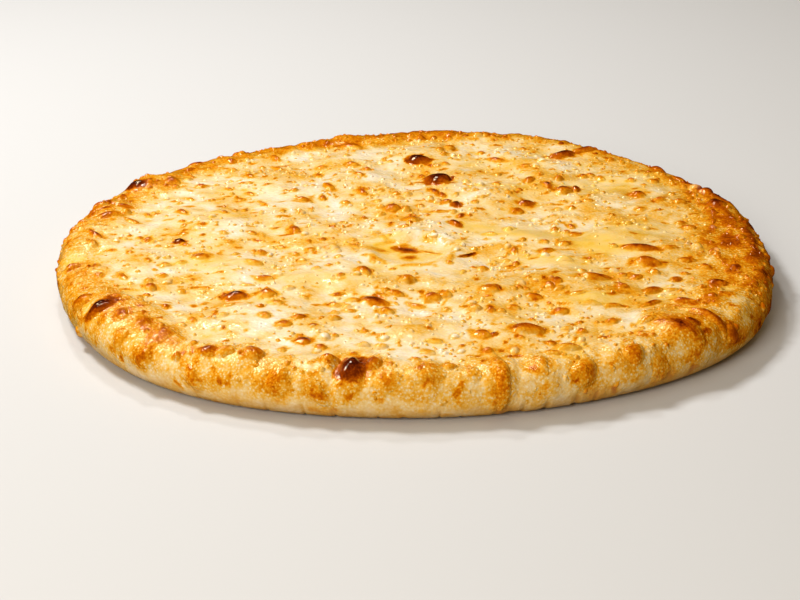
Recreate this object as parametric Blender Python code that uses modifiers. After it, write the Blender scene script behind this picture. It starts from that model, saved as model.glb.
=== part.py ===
# A round, flat cabbage pie, baked whole: dough shut all round a level filling, so one solid.
# Metres, +Z up. The origin is on the surface that the pie stands on, under the middle of its outline.

import math

import bpy
import numpy as np

NAME = "cabbage_pie"

# Driving dimensions, in metres
DIAMETER = 0.340  # mean, across the widest part of the side
RIM_THICKNESS = 0.020  # underside to the shoulder of the rim
SHOULDER_WIDTH = 0.015  # from the widest part of the side in to the level top
FOOT_WIDTH = 0.010  # from the widest part of the side in to the flat underside
EDGE_FULLNESS = 2.3  # power of the side's superellipse: 2 is round, more is squarer
SWELL = 0.0014  # how far the filling lifts the top between the rim and the vent
SWELL_RUN = 0.040  # how far in from the shoulder that lift is complete
VENT_CENTRE = (-0.002, -0.022)
VENT_RADII = (0.020, 0.018)
VENT_DEPTH = 0.0032  # the shallow hollow where steam came out
VENT_LIP = 0.0012  # the raised edge round that hollow

# The hand-pulled outline: lobes round the pie, swing in metres, angle of a crest in degrees
OUTLINE_WAVES = (
    (2, 0.00263, 42.0),
    (3, 0.00260, -38.9),
    (4, 0.00234, -27.5),
    (5, 0.00101, 12.3),
    (6, 0.00077, 20.1),
    (7, 0.00093, 24.0),
)

# Where the rim is puffed up into a lobe: angle and spread in degrees, rise and width in metres
RIM_LOBES = (
    (151.0, 5.0, 0.0030, 0.012),
    (178.0, 12.0, 0.0020, 0.018),
    (214.0, 11.0, 0.0026, 0.018),
    (244.0, 9.0, 0.0012, 0.016),
    (266.0, 10.0, 0.0010, 0.016),
    (296.0, 9.0, 0.0012, 0.016),
    (317.0, 9.0, 0.0024, 0.018),
    (345.0, 12.0, 0.0012, 0.016),
    (12.0, 8.0, 0.0010, 0.014),
    (58.0, 9.0, 0.0014, 0.014),
    (95.0, 11.0, 0.0012, 0.014),
)

# Lumps of filling under the dough: crest spacing and height in metres, direction in degrees
FILLING_LUMPS = (
    (0.046, 0.00055, 20.0),
    (0.061, 0.00060, 83.0),
    (0.037, 0.00045, 141.0),
    (0.083, 0.00060, -35.0),
)

# The largest air blisters: x, y, reach from the middle to the foot, and height, in metres
BLISTERS = (
    (-0.0262, -0.1560, 0.017, 0.0036),
    (-0.1370, -0.0930, 0.017, 0.0030),
    (0.0120, 0.0920, 0.017, 0.0034),
    (0.0010, 0.1230, 0.015, 0.0026),
    (0.0790, 0.1340, 0.018, 0.0026),
    (0.0770, 0.0700, 0.018, 0.0022),
    (0.1130, -0.1100, 0.024, 0.0022),
    (0.0460, -0.1070, 0.018, 0.0024),
    (0.1110, -0.0280, 0.020, 0.0020),
    (-0.0500, -0.1220, 0.016, 0.0018),
    (-0.0190, -0.0790, 0.016, 0.0018),
    (-0.0800, -0.0700, 0.014, 0.0018),
)

# How finely the turned shape is cut
TURN_STEPS = 116
TOP_RINGS = 20
EDGE_RINGS = 12

CRUST_COLOUR = (0.80, 0.52, 0.22, 1.0)
CRUST_ROUGHNESS = 0.45


def clear_scene():
    for obj in list(bpy.data.objects):
        bpy.data.objects.remove(obj, do_unlink=True)


def crust_material():
    material = bpy.data.materials.new("baked_dough")
    material.use_nodes = True
    shader = material.node_tree.nodes["Principled BSDF"]
    shader.inputs["Base Color"].default_value = CRUST_COLOUR
    shader.inputs["Roughness"].default_value = CRUST_ROUGHNESS
    shader.inputs["Metallic"].default_value = 0.0
    return material


def profile_points():
    """Half the section at +X: out along the top, round the side as a superellipse, and in along the underside."""
    shoulder = DIAMETER / 2 - SHOULDER_WIDTH
    half = RIM_THICKNESS / 2
    power = 2 / EDGE_FULLNESS
    points = [(shoulder * ring / TOP_RINGS, RIM_THICKNESS) for ring in range(TOP_RINGS)]
    for step in range(EDGE_RINGS + 1):
        turn = math.pi / 2 - math.pi * step / EDGE_RINGS
        width = SHOULDER_WIDTH if turn > 0 else FOOT_WIDTH
        back = 1 - abs(math.cos(turn)) ** power
        up = math.copysign(abs(math.sin(turn)) ** power, turn)
        points.append((DIAMETER / 2 - width * back, half + half * up))
    points.append((0.0, 0.0))
    return points


def turned_mesh(points):
    """The section turned about Z, as a mesh whose two poles are closed."""
    mesh = bpy.data.meshes.new("section")
    corners = [(x, 0.0, z) for x, z in points]
    mesh.from_pydata(corners, [(i, i + 1) for i in range(len(corners) - 1)], [])
    section = bpy.data.objects.new("section", mesh)
    bpy.context.scene.collection.objects.link(section)
    screw = section.modifiers.new("turn", "SCREW")
    screw.axis = "Z"
    screw.angle = 2 * math.pi
    screw.steps = TURN_STEPS
    screw.render_steps = TURN_STEPS
    screw.use_merge_vertices = True
    screw.merge_threshold = 0.0001
    graph = bpy.context.evaluated_depsgraph_get()
    turned = bpy.data.meshes.new_from_object(section.evaluated_get(graph))
    bpy.data.objects.remove(section, do_unlink=True)
    return turned


def outline_radius(angle):
    """The mean radius plus a cosine for each wave of the outline."""
    radius = np.full_like(angle, DIAMETER / 2)
    for lobes, swing, crest in OUTLINE_WAVES:
        radius += swing * np.cos(lobes * (angle - math.radians(crest)))
    return radius


def outline_centre():
    """The middle of the outline's box, which becomes the origin."""
    angle = np.linspace(-math.pi, math.pi, 721)
    radius = outline_radius(angle)
    x = radius * np.cos(angle)
    y = radius * np.sin(angle)
    return (x.min() + x.max()) / 2, (y.min() + y.max()) / 2


def bump(distance):
    """A smooth mound: 1 in the middle, and level with nothing at distance 1."""
    return np.clip(1 - distance**2, 0, 1) ** 2


def rim_relief(angle, inward):
    """The lobes puffed up along the rim: a bell in angle times a bell in distance from the outline."""
    relief = np.zeros_like(angle)
    for crest, spread, rise, width in RIM_LOBES:
        away = np.degrees(np.angle(np.exp(1j * (angle - math.radians(crest)))))
        across = (inward - SHOULDER_WIDTH) / width
        relief += rise * np.exp(-((away / spread) ** 2) - across**2)
    return relief


def filling_relief(x, y, inward):
    """Plane waves for the lumps of filling, and a swell that rises from the rim to the middle."""
    room = np.clip((inward - SHOULDER_WIDTH) / SWELL_RUN, 0, 1)
    room = room * room * (3 - 2 * room)
    waves = np.zeros_like(x)
    for spacing, height, turn in FILLING_LUMPS:
        along = x * math.cos(math.radians(turn)) + y * math.sin(math.radians(turn))
        waves += height * np.cos(2 * math.pi * along / spacing)
    return room * (SWELL + waves)


def vent_relief(x, y):
    """A shallow bowl with a low lip round it."""
    distance = np.hypot((x - VENT_CENTRE[0]) / VENT_RADII[0], (y - VENT_CENTRE[1]) / VENT_RADII[1])
    return VENT_LIP * np.exp(-(((distance - 1.05) / 0.22) ** 2)) - VENT_DEPTH * bump(distance / 1.05)


def blister_relief(x, y):
    relief = np.zeros_like(x)
    for at_x, at_y, reach, height in BLISTERS:
        relief += height * bump(np.hypot(x - at_x, y - at_y) / reach)
    return relief


def shape_crust(mesh):
    """Carries the turned mesh out to the outline and lifts its top by the reliefs. The underside stays flat.
    The rings are centred on the outline at the rim and on the vent at the pole, so the vent is evenly cut."""
    place = np.empty(len(mesh.vertices) * 3)
    mesh.vertices.foreach_get("co", place)
    place = place.reshape(-1, 3)
    share = np.hypot(place[:, 0], place[:, 1]) / (DIAMETER / 2)
    stretch = outline_radius(np.arctan2(place[:, 1], place[:, 0])) / (DIAMETER / 2)
    x = place[:, 0] * stretch + VENT_CENTRE[0] * (1 - share) ** 2
    y = place[:, 1] * stretch + VENT_CENTRE[1] * (1 - share) ** 2
    angle = np.arctan2(y, x)
    inward = outline_radius(angle) - np.hypot(x, y)
    relief = rim_relief(angle, inward) + filling_relief(x, y, inward) + vent_relief(x, y) + blister_relief(x, y)
    top_share = np.clip(2 * place[:, 2] / RIM_THICKNESS - 1, 0, 1)
    centre = outline_centre()
    place[:, 0] = x - centre[0]
    place[:, 1] = y - centre[1]
    place[:, 2] += top_share * relief
    mesh.vertices.foreach_set("co", place.ravel())
    mesh.update()


def make_pie():
    clear_scene()
    collection = bpy.data.collections.new(NAME)
    bpy.context.scene.collection.children.link(collection)
    mesh = turned_mesh(profile_points())
    shape_crust(mesh)
    mesh.name = NAME
    mesh.materials.clear()
    mesh.materials.append(crust_material())
    mesh.shade_smooth()
    collection.objects.link(bpy.data.objects.new(NAME, mesh))


make_pie()
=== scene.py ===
import math

import bpy
import numpy as np
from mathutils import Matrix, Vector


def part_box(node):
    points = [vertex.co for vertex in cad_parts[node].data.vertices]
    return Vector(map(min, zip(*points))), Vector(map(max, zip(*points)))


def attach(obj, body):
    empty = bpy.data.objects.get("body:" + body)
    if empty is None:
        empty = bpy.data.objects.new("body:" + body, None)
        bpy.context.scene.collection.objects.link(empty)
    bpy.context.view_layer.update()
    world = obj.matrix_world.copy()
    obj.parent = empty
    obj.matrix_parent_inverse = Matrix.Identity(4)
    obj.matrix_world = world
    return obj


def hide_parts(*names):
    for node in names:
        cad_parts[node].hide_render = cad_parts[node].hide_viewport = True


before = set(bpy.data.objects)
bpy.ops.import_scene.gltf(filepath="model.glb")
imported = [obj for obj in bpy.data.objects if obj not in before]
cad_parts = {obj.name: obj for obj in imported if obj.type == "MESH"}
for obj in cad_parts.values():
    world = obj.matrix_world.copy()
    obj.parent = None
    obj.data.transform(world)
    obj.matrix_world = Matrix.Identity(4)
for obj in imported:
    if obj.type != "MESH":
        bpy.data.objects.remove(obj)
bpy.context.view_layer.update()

cadLow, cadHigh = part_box("cabbage_pie")
mm = 0.001
print("the solid pie is", [round((high - low) / mm, 1) for low, high in zip(cadLow, cadHigh)], "mm")


def smoothStep(low, high, value):
    # 0 below low, 1 above high, and a smooth cubic between them
    part = np.clip((value - low) / (high - low), 0, 1)
    return part * part * (3 - 2 * part)


def turned(x, y, degrees):
    # the same place measured along and across a direction
    c, s = math.cos(math.radians(degrees)), math.sin(math.radians(degrees))
    return x * c + y * s, y * c - x * s


def angleGap(angle, degrees):
    # how many degrees an angle lies away from a direction, the short way round
    return np.degrees(np.angle(np.exp(1j * (angle - math.radians(degrees)))))


def latticeKeys(cell, table):
    # one number from 0 to 255 for each corner of a lattice, by three look-ups in a shuffled table
    first = table[cell[:, 0] & 255]
    second = table[(first + cell[:, 1]) & 255]
    return table[(second + cell[:, 2]) & 255]


def slopeNoise(points, spacing, seed):
    # gradient noise, from about -1 to 1: each lattice corner has its own slope, and the slopes are blended
    # between corners by a quintic curve
    shuffle = np.random.default_rng(seed)
    table = shuffle.permutation(256)
    slopes = shuffle.normal(size=(256, 3))
    slopes /= np.linalg.norm(slopes, axis=1)[:, None]
    scaled = points / spacing
    cell = np.floor(scaled).astype(np.int64)
    part = scaled - cell
    ease = part**3 * (part * (part * 6 - 15) + 10)
    total = np.zeros(len(points))
    for corner in np.ndindex(2, 2, 2):
        offset = np.array(corner)
        slope = slopes[latticeKeys(cell + offset, table)]
        weight = np.prod(np.where(offset, ease, 1 - ease), axis=1)
        total += weight * np.einsum("ij,ij->i", slope, part - offset)
    return total * 1.6


# each noise on the crust: spacing in mm, seed, layers
noises = {
    "uneven": (10, 31, 1), "wideWobble": (5, 41, 1), "fineWobble": (2.4, 42, 1),
    "wideBulges": (12, 61, 1), "fineBulges": (6, 62, 1), "wrinkles": (5.5, 63, 1),
    "lumps": (15, 71, 2), "puckers": (5.5, 75, 1), "pools": (13, 77, 1), "folds": (22, 78, 1),
    "creases": (9, 81, 1), "dents": (7, 91, 2), "ruffle": (4.6, 95, 3),
    "rimPatches": (20, 101, 2), "rimSpecks": (6, 105, 2), "stains": (26, 111, 2),
    "smallStains": (9, 115, 2), "freckles": (5, 118, 1), "lowStains": (7, 121, 2),
    "underStains": (26, 131, 3), "underSpecks": (6, 135, 2),
}


def noiseOf(name, points):
    # layers of gradient noise, each half as wide and half as strong as the one before
    spacing, seed, layers = noises[name]
    total = np.zeros(len(points))
    for layer in range(layers):
        total += slopeNoise(points, spacing * mm / 2**layer, seed + layer) / 2**layer
    return total


view = {
    "distance": 1.0,  # from the pie's middle, m
    "above": 21.7,  # degrees over the horizon
    "aimX": -0.0079,  # the point that the camera looks at, m
    "aimZ": -0.0132,
    "lens": 93.24,
    "sensor": 36,
    "world": 0.14,  # strength of the room's light
    "worldColour": (1.0, 0.72, 0.34, 1),
    "fillColour": (1.0, 0.94, 0.85),
    "floorSize": 12,
    "floorPlace": (0, 3, -0.0003),
    "floorGrey": 0.60,
}

# each lamp: power in W, size and place in m, and whether it is mirrored in the crust
lamps = {
    "keyLight": (10.6, 0.24, (-0.60, 0.30, 0.95), True),  # from the left and a little behind
    "frontLight": (9.3, 0.55, (-0.45, -1.05, 0.60), False),
    "topLight": (6.3, 1.6, (0.0, -0.2, 1.6), False),
    "glintLight": (4.4, 0.15, (-0.28, 0.80, 1.05), True),  # from behind, for glints on slopes of 20 degrees
}


def cameraPlace():
    # on a circle round the outline's middle, at the angle above
    tilt = math.radians(view["above"])
    return view["distance"] * np.array([0, -math.cos(tilt), math.sin(tilt)])


def facing(way):
    # the turn that points a camera or lamp along this direction and keeps it level
    return (math.atan2(math.hypot(way[0], way[1]), -way[2]), 0, math.atan2(-way[0], way[1]))


def makeCamera(origin):
    # looks along +Y and down; origin is where the frame's origin lies, seen from the pie's outline
    data = bpy.data.cameras.new("camera")
    data.sensor_width = view["sensor"]
    data.lens = view["lens"]
    camera = bpy.data.objects.new("camera", data)
    bpy.context.scene.collection.objects.link(camera)
    place = cameraPlace()
    camera.location = place - origin
    camera.rotation_euler = facing(np.array([view["aimX"], 0, view["aimZ"]]) - place)
    bpy.context.scene.camera = camera


def makeLamp(name, power, size, place, mirrored):
    # a square soft light that faces the pie; one that isn't mirrored is a warmer fill
    data = bpy.data.lights.new(name, "AREA")
    data.energy = power
    data.color = (1, 1, 1) if mirrored else view["fillColour"]
    data.size = size
    lamp = bpy.data.objects.new(name, data)
    bpy.context.scene.collection.objects.link(lamp)
    lamp.location = place
    lamp.visible_glossy = mirrored
    lamp.rotation_euler = facing(-np.array(place))


def makeStage():
    # a dim warm room, the lamps and a pale floor just under the pie
    scene = bpy.context.scene
    scene.view_settings.view_transform = "Standard"
    world = bpy.data.worlds.new("room")
    scene.world = world
    world.use_nodes = True
    background = world.node_tree.nodes["Background"]
    background.inputs["Color"].default_value = view["worldColour"]
    background.inputs["Strength"].default_value = view["world"]
    world.cycles_visibility.glossy = False
    for name, (power, size, place, mirrored) in lamps.items():
        makeLamp(name, power, size, place, mirrored)
    bpy.ops.mesh.primitive_plane_add(size=view["floorSize"], location=view["floorPlace"])
    floor = bpy.context.object
    floor.name = "floor"
    floor.visible_glossy = False
    paint = bpy.data.materials.new("floorPaint")
    paint.use_nodes = True
    shader = paint.node_tree.nodes["Principled BSDF"]
    grey = view["floorGrey"]
    shader.inputs["Base Color"].default_value = (grey, grey, grey, 1)
    shader.inputs["Roughness"].default_value = 0.8
    floor.data.materials.append(paint)


pie = {
    "across": 0.340,  # mean, at the widest part of the side, m
    "rim": 0.020,  # underside to shoulder
    "shoulder": 0.015,  # from the widest part of the side in to the level top
    "foot": 0.010,  # from there in to the flat underside
    "fullness": 2.3,  # power of the side's superellipse
    "outline": (  # lobes round the pie, swing in mm, angle of a crest
        (2, 2.63, 42.0), (3, 2.60, -38.9), (4, 2.34, -27.5),
        (5, 1.01, 12.3), (6, 0.77, 20.1), (7, 0.93, 24.0),
    ),
    "rimLobes": (  # angle, spread in degrees, rise and width in mm
        (151, 5, 3.0, 12), (178, 12, 2.0, 18), (214, 11, 2.6, 18), (244, 9, 1.2, 16),
        (266, 10, 1.0, 16), (296, 9, 1.2, 16), (317, 9, 2.4, 18), (345, 12, 1.2, 16),
        (12, 8, 1.0, 14), (58, 9, 1.4, 14), (95, 11, 1.2, 14),
    ),
    "swell": 1.4,  # how far the filling lifts the top, mm
    "swellRun": 40,  # how far in from the shoulder that lift is complete, mm
    "lumps": ((46, 0.55, 20), (61, 0.60, 83), (37, 0.45, 141), (83, 0.60, -35)),  # spacing, height, turn
    "ventAt": (-2, -22),  # mm, as are the next three
    "ventRadii": (20, 18),
    "ventDepth": 3.2,
    "ventLip": 0.8,
    "ventEdge": 1.05,  # where the lip's crest runs and how wide it is, in the vent's radii
    "ventEdgeWidth": 0.22,
    "rings": 132,  # how finely the crust is cut
    "sideRows": 15,
    "underRows": 6,
}


def outlineRadius(angle):
    # the mean radius plus a cosine for each wave of the outline
    radius = np.full_like(angle, pie["across"] / 2)
    for lobes, swing, crest in pie["outline"]:
        radius += swing * mm * np.cos(lobes * (angle - math.radians(crest)))
    return radius


def outlineMiddle():
    # the middle of the outline's box, which is the frame's origin
    angle = np.linspace(-math.pi, math.pi, 721)
    radius = outlineRadius(angle)
    x, y = radius * np.cos(angle), radius * np.sin(angle)
    return np.array([(x.min() + x.max()) / 2, (y.min() + y.max()) / 2, 0])


def sectionCurve(count=400):
    # half the section: a straight top, a superellipse side, a straight underside, as distances along it
    half = pie["rim"] / 2
    power = 2 / pie["fullness"]
    turn = np.linspace(math.pi / 2, -math.pi / 2, count)
    width = np.where(turn > 0, pie["shoulder"], pie["foot"])
    out = pie["across"] / 2 - width * (1 - np.abs(np.cos(turn)) ** power)
    up = half + half * np.sign(turn) * np.abs(np.sin(turn)) ** power
    out = np.concatenate([[0], out, [0]])
    up = np.concatenate([[pie["rim"]], up, [0]])
    path = np.concatenate([[0], np.cumsum(np.hypot(np.diff(out), np.diff(up)))])
    return path, out, up


section = sectionCurve()
widestPath = section[0][np.argmax(section[1])]
footPath = section[0][-2]
wholePath = section[0][-1]


def bump(distance):
    # a smooth mound: 1 in the middle, level with nothing at distance 1
    return np.clip(1 - distance**2, 0, 1) ** 2


def broadRelief(x, y, angle, inward):
    # rim lobes as bells, a swell over the filling with plane waves for its lumps, and the vent's bowl and lip
    lift = np.zeros_like(x)
    for crest, spread, rise, width in pie["rimLobes"]:
        across = (inward - pie["shoulder"]) / (width * mm)
        lift += rise * np.exp(-((angleGap(angle, crest) / spread) ** 2) - across**2)
    waves = np.full_like(x, pie["swell"])
    for spacing, height, turn in pie["lumps"]:
        waves += height * np.cos(2 * math.pi * turned(x, y, turn)[0] / (spacing * mm))
    lift += waves * smoothStep(0, 1, (inward - pie["shoulder"]) / (pie["swellRun"] * mm))
    across = (x / mm - pie["ventAt"][0]) / pie["ventRadii"][0]
    along = (y / mm - pie["ventAt"][1]) / pie["ventRadii"][1]
    gap = np.hypot(across, along)
    lift += pie["ventLip"] * np.exp(-(((gap - pie["ventEdge"]) / pie["ventEdgeWidth"]) ** 2))
    lift -= pie["ventDepth"] * bump(gap / pie["ventEdge"])
    return lift * mm


# each blister: x, y, length, width in mm, turn in degrees, height in mm, toast from 0 (pale) to 1 (black)
blisters = (
    # front rim
    (-26, -154, 14, 11, 80, 3.2, 0.93), (-25, -162, 10, 9, 70, 0.8, 0.50), (-18, -146, 8, 8, 0, 3.0, 0.60),
    (-36, -143, 8, 8, 0, 3.0, 0.55), (-67, -143, 9, 8, 0, 2.6, 0.55), (-80, -136, 8, 7, 0, 2.4, 0.46),
    (-22, -129, 6, 5, 0, 1.6, 0.35), (-15, -131, 6, 5, 0, 1.6, 0.35), (35, -157, 30, 7, 100, 1.8, 0.46),
    (14, -151, 6, 6, 0, 1.2, 0.50), (-41, -166, 14, 7, 125, 1.4, 0.42), (70, -150, 12, 12, 0, 2.2, 0.46),
    (91, -136, 10, 9, 60, 2.0, 0.46), (106, -138, 11, 14, 20, 1.2, 0.42), (64, -131, 10, 8, 0, 2.2, 0.50),
    (70, -123, 4, 4, 0, 1.4, 0.18), (57, -137, 8, 5, 0, 1.2, 0.52), (23, -157, 8, 9, 0, 1.4, 0.38),
    (4, -158, 16, 11, 10, 1.6, 0.39), (-12, -163, 12, 10, 70, 1.4, 0.38), (50, -150, 10, 12, 0, 1.2, 0.42),
    (-57, -160, 12, 12, 0, 1.6, 0.40),
    # front left puffs
    (-138, -92, 12, 8, 22, 2.2, 0.90), (-148, -81, 8, 9, 70, 2.0, 0.62), (-156, -92, 5, 6, 80, 1.4, 0.52),
    (-118, -108, 9, 15, 10, 1.2, 0.52), (-106, -124, 15, 11, -35, 0.7, 0.46),
    (-87, -140, 11, 6, -20, 1.4, 0.64), (-95, -150, 8, 13, 10, 1.6, 0.44),
    (-116, -134, 9, 8, 30, 1.4, 0.48), (-126, -118, 10, 8, 50, 1.2, 0.45), (-97, -104, 4, 6, 20, 0.8, 0.50),
    (-134, -104, 8, 10, 30, 1.2, 0.35), (-128, -98, 6, 9, 20, 1.2, 0.58),
    # front middle
    (48, -111, 15, 8, 0, 2.4, 0.66), (28, -118, 8, 8, 20, 1.8, 0.58), (33, -118, 4, 3, 0, 1.2, 0.82),
    (8, -126, 7, 4, 0, 0.9, 0.46), (5, -137, 7, 5, -20, 0.9, 0.42), (23, -128, 3, 3, 0, 0.7, 0.40),
    (-48, -125, 7, 8, 20, 1.3, 0.76), (-57, -107, 7, 6, 30, 1.3, 0.62), (-51, -99, 6, 5, 20, 1.0, 0.64),
    (-56, -135, 4, 5, 0, 0.8, 0.50), (57, -127, 5, 4, 0, 1.2, 0.62), (71, -114, 5, 5, 0, 1.6, 0.58),
    (65, -111, 5, 4, 0, 1.2, 0.42), (96, -116, 5, 5, 0, 0.9, 0.44), (82, -115, 5, 4, 0, 0.6, 0.34),
    (85, -103, 6, 5, 0, 1.2, 0.56), (100, -100, 9, 4, 20, 1.0, 0.50),
    # right front
    (113, -110, 22, 14, -30, 2.2, 0.56), (112, -114, 8, 7, 0, 1.0, 0.78), (119, -104, 7, 6, 0, 1.0, 0.76),
    (106, -104, 8, 5, -20, 1.0, 0.60), (138, -106, 9, 8, 60, 1.6, 0.62), (127, -94, 26, 6, -42, 2.0, 0.62),
    (119, -79, 11, 5, -15, 2.2, 0.70), (104, -82, 11, 4, 38, 1.4, 0.60), (87, -85, 8, 4, 10, 1.0, 0.60),
    (63, -92, 8, 6, 0, 2.0, 0.62), (106, -67, 9, 6, 25, 2.0, 0.66), (107, -31, 14, 9, -20, 2.8, 0.64),
    (106, -12, 18, 5, -8, 2.2, 0.74), (126, -30, 8, 5, 10, 1.8, 0.60), (133, -11, 5, 6, 0, 1.8, 0.20),
    (133, -38, 6, 7, 60, 1.4, 0.50), (82, -51, 14, 7, 0, 2.0, 0.58), (100, -52, 6, 5, 0, 1.2, 0.62),
    (94, -49, 5, 4, 0, 1.0, 0.55), (118, -54, 6, 5, 60, 1.2, 0.64), (137, -57, 9, 5, 0, 1.2, 0.62),
    (123, -47, 5, 3, 0, 0.9, 0.52), (93, -62, 6, 5, 0, 1.4, 0.54), (64, -55, 5, 5, 60, 1.6, 0.68),
    (60, -62, 5, 8, 20, 1.4, 0.55), (72, -71, 7, 4, 0, 1.0, 0.56), (92, -70, 7, 3, 0, 0.7, 0.40),
    (114, -67, 7, 4, 0, 1.0, 0.46), (77, -83, 9, 5, 0, 0.8, 0.38), (120, -13, 8, 4, 10, 0.9, 0.50),
    (70, -9, 7, 6, 0, 1.4, 0.52), (69, -28, 9, 6, 0, 1.2, 0.18), (61, -18, 7, 7, 0, 1.2, 0.68),
    # middle
    # the pale blister with toast 0 at (-27, -48) stands partly for a white glint: its paleness is partly a
    # painted highlight
    (-4, -54, 8, 8, 0, 3.0, 0.54), (-24, -44, 7, 9, 20, 1.8, 0.62), (-27, -48, 4, 4, 0, 1.4, 0.0),
    (-19, -81, 12, 9, -20, 1.6, 0.78), (-9, -72, 8, 5, -30, 1.2, 0.58), (7, -77, 8, 8, 0, 2.6, 0.62),
    (13, -73, 6, 7, 0, 2.2, 0.48), (33, -65, 9, 8, 30, 2.6, 0.52), (36, -64, 4, 8, 20, 1.2, 0.60),
    (26, -88, 6, 6, 0, 2.2, 0.46), (43, -88, 6, 5, -20, 1.4, 0.52), (53, -75, 7, 5, -20, 1.2, 0.66),
    (46, -19, 4, 8, 0, 1.0, 0.52), (43, -40, 5, 4, 0, 0.8, 0.60), (-36, -86, 6, 5, 0, 1.2, 0.50),
    (-28, -80, 6, 5, -30, 1.0, 0.46), (-35, -74, 6, 3, 0, 0.7, 0.50), (-13, -92, 7, 7, 0, 1.4, 0.52),
    (0, -87, 9, 4, -30, 0.9, 0.52), (13, -91, 4, 5, 0, 0.9, 0.46), (-29, -93, 6, 4, 0, 0.9, 0.46),
    (-50, -18, 5, 5, 0, 0.8, 0.50), (-57, -24, 5, 4, -30, 0.8, 0.46), (-50, -77, 5, 3, -30, 0.6, 0.42),
    # left
    (-113, -7, 5, 5, -50, 1.6, 0.96), (-110, -11, 8, 3, -50, 0.6, 0.50), (-101, -27, 9, 8, 20, 1.1, 0.60),
    # the pale blister with toast 0 at (-105, -27) stands partly for a white glint: its paleness is partly a
    # painted highlight
    (-105, -27, 3, 3, 0, 1.2, 0.0), (-73, -22, 6, 7, 0, 1.5, 0.54), (-64, -15, 5, 3, -30, 0.6, 0.50),
    (-75, -34, 8, 5, -30, 0.9, 0.48), (-69, -54, 8, 5, 0, 1.8, 0.64), (-67, -72, 9, 9, 0, 1.8, 0.60),
    (-81, -75, 11, 8, -10, 2.6, 0.84), (-76, -63, 6, 3, 0, 0.8, 0.42), (-62, -83, 7, 6, -30, 0.9, 0.48),
    (-83, -87, 6, 4, 0, 0.8, 0.46), (-120, -66, 6, 8, 30, 2.2, 0.60), (-116, -38, 5, 6, -60, 1.0, 0.50),
    (-109, -35, 4, 5, -60, 0.8, 0.50), (-125, -32, 3, 6, 20, 0.7, 0.50), (-134, -53, 4, 9, 25, 1.2, 0.52),
    (-145, -52, 5, 6, 0, 1.0, 0.50), (-159, -40, 8, 6, 0, 1.2, 0.52), (-105, -71, 4, 5, 0, 0.8, 0.44),
    (-66, -97, 6, 6, 0, 1.0, 0.52), (-89, -8, 5, 4, -40, 0.6, 0.42), (-153, -14, 5, 7, 20, 1.0, 0.48),
    (-155, 3, 11, 5, -50, 1.4, 0.68), (-152, 30, 15, 6, 10, 1.6, 0.62), (-157, 43, 10, 5, 30, 1.8, 0.58),
    (-146, 43, 10, 3, -8, 1.2, 0.66), (-139, 20, 11, 4, -50, 1.0, 0.54), (-116, 34, 8, 4, -50, 1.0, 0.60),
    (-114, 52, 8, 3, -60, 0.8, 0.50), (-110, 72, 6, 6, 0, 1.2, 0.60), (-84, 60, 6, 3, -60, 0.9, 0.60),
    (-88, 51, 5, 4, 0, 0.7, 0.54), (-85, 36, 8, 3, 80, 0.7, 0.44), (-77, 46, 13, 2, -62, 0.6, 0.50),
    (-66, 35, 5, 3, 80, 0.7, 0.50), (-132, 28, 6, 3, -60, 0.8, 0.56), (-113, 14, 5, 3, 80, 0.7, 0.50),
    (-112, 2, 5, 4, 0, 0.6, 0.48), (-79, 4, 5, 4, -30, 0.7, 0.52), (-59, 9, 8, 6, -60, 1.8, 0.66),
    # back left
    (-126, 82, 8, 8, 0, 1.4, 0.56), (-144, 76, 9, 6, -10, 2.0, 0.92), (-143, 68, 8, 8, 0, 1.0, 0.52),
    (-148, 56, 8, 4, -70, 1.0, 0.50), (-87, 88, 8, 4, -60, 1.2, 0.56), (-98, 112, 6, 6, 0, 1.2, 0.56),
    (-75, 118, 9, 4, -65, 1.2, 0.56), (-73, 100, 10, 4, -60, 1.2, 0.56), (-57, 53, 7, 5, 0, 1.2, 0.62),
    (-45, 73, 11, 5, -68, 1.4, 0.60), (-51, 89, 7, 4, -70, 1.2, 0.60), (-28, 64, 9, 4, -60, 1.4, 0.60),
    (-34, 108, 7, 6, 0, 1.4, 0.60), (-50, 102, 6, 4, 0, 1.0, 0.50), (-118, 113, 9, 7, 30, 1.2, 0.58),
    (-35, 138, 12, 9, 0, 1.6, 0.60), (-30, 92, 7, 3, -50, 1.0, 0.55), (-105, 122, 6, 5, 0, 1.0, 0.52),
    # back middle
    (11, 86, 12, 13, 0, 4.8, 1.0), (1, 117, 11, 9, -12, 3.6, 0.96), (-12, 41, 8, 9, 0, 1.9, 0.62),
    (-2, 24, 9, 10, -30, 1.6, 0.62), (19, 19, 9, 5, -60, 1.8, 0.82), (11, 35, 9, 4, 0, 1.5, 0.58),
    (9, 65, 8, 4, -55, 1.2, 0.68), (13, 59, 6, 3, -60, 1.0, 0.66), (15, 50, 5, 5, 0, 1.4, 0.72),
    (20, 46, 10, 4, -70, 1.4, 0.86), (55, 48, 8, 6, 0, 1.8, 0.76), (50, 36, 7, 6, 60, 1.4, 0.62),
    (36, 4, 6, 4, -20, 1.0, 0.48), (41, 77, 6, 4, -60, 1.0, 0.52), (58, 84, 8, 6, 70, 1.8, 0.66),
    (42, 114, 10, 4, -30, 1.4, 0.68), (57, 106, 6, 4, -10, 1.2, 0.60), (18, 136, 8, 6, 70, 1.6, 0.54),
    (78, 126, 13, 7, 25, 3.0, 0.86), (90, 134, 13, 6, 25, 2.4, 0.70), (-18, 66, 4, 4, 0, 0.7, 0.46),
    # back right
    (75, 68, 11, 9, 40, 2.2, 0.70), (81, 69, 5, 9, 0, 1.8, 0.76), (67, 77, 5, 9, 0, 1.2, 0.60),
    (112, 62, 9, 7, 30, 1.8, 0.70), (122, 54, 6, 6, 0, 1.2, 0.58), (132, 51, 7, 6, 0, 1.6, 0.48),
    (86, 52, 6, 4, 0, 0.7, 0.52), (111, 39, 6, 6, -40, 0.9, 0.50), (122, 82, 6, 7, 0, 1.2, 0.58),
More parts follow.
